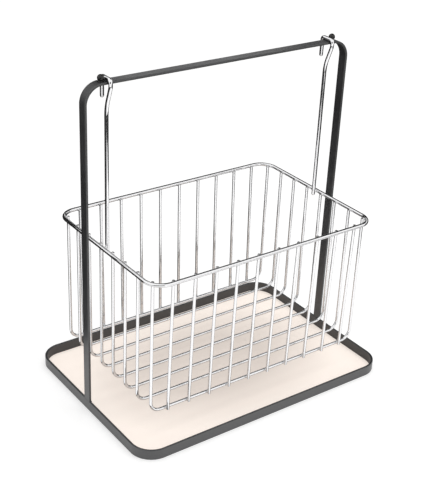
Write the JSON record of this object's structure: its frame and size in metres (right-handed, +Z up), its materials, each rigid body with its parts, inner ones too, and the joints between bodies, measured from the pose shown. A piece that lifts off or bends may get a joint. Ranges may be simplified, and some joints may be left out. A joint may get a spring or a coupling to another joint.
{
  "type": "hanging wire basket on a stand",
  "caption": "Chrome wire basket with a rounded rectangular rim, hung by a hook at each end from a dark flat-bar hoop that stands on a rounded ring of the same bar.",
  "frame": {"origin": "on the table, at the middle of the base ring", "axes": "+X along the basket's long side, towards its right end; -Y towards the front, where the hooks' legs come down; +Z up"},
  "size_m": [0.28, 0.197, 0.32],
  "materials": {
    "stand_coat": "matt anthracite powder coat",
    "basket_chrome": "polished chrome plate"
  },
  "bodies": {
    "stand": {"base_ring": "stand_coat", "hoop": "stand_coat", "stop_ball_left": "stand_coat", "stop_ball_right": "stand_coat"},
    "basket": {"rim": "basket_chrome", "hanger_left": "basket_chrome", "hanger_right": "basket_chrome", "long_wire_01": "basket_chrome", "long_wire_02": "basket_chrome", "long_wire_03": "basket_chrome", "long_wire_04": "basket_chrome", "long_wire_05": "basket_chrome", "long_wire_06": "basket_chrome", "long_wire_07": "basket_chrome", "long_wire_08": "basket_chrome", "front_wire_01": "basket_chrome", "front_wire_02": "basket_chrome", "front_wire_03": "basket_chrome", "front_wire_04": "basket_chrome", "front_wire_05": "basket_chrome", "front_wire_06": "basket_chrome", "front_wire_07": "basket_chrome", "front_wire_08": "basket_chrome", "front_wire_09": "basket_chrome", "front_wire_10": "basket_chrome", "back_wire_01": "basket_chrome", "back_wire_02": "basket_chrome", "back_wire_03": "basket_chrome", "back_wire_04": "basket_chrome", "back_wire_05": "basket_chrome", "back_wire_06": "basket_chrome", "back_wire_07": "basket_chrome", "back_wire_08": "basket_chrome", "back_wire_09": "basket_chrome", "back_wire_10": "basket_chrome"}
  },
  "joints": [
    {"name": "basket_swing", "type": "hinge", "parent": "stand", "child": "basket", "pos_m": [0, 0, 0.3129], "axis": [1, 0, 0], "range_deg": [-3.5, 3.5]}
  ]
}
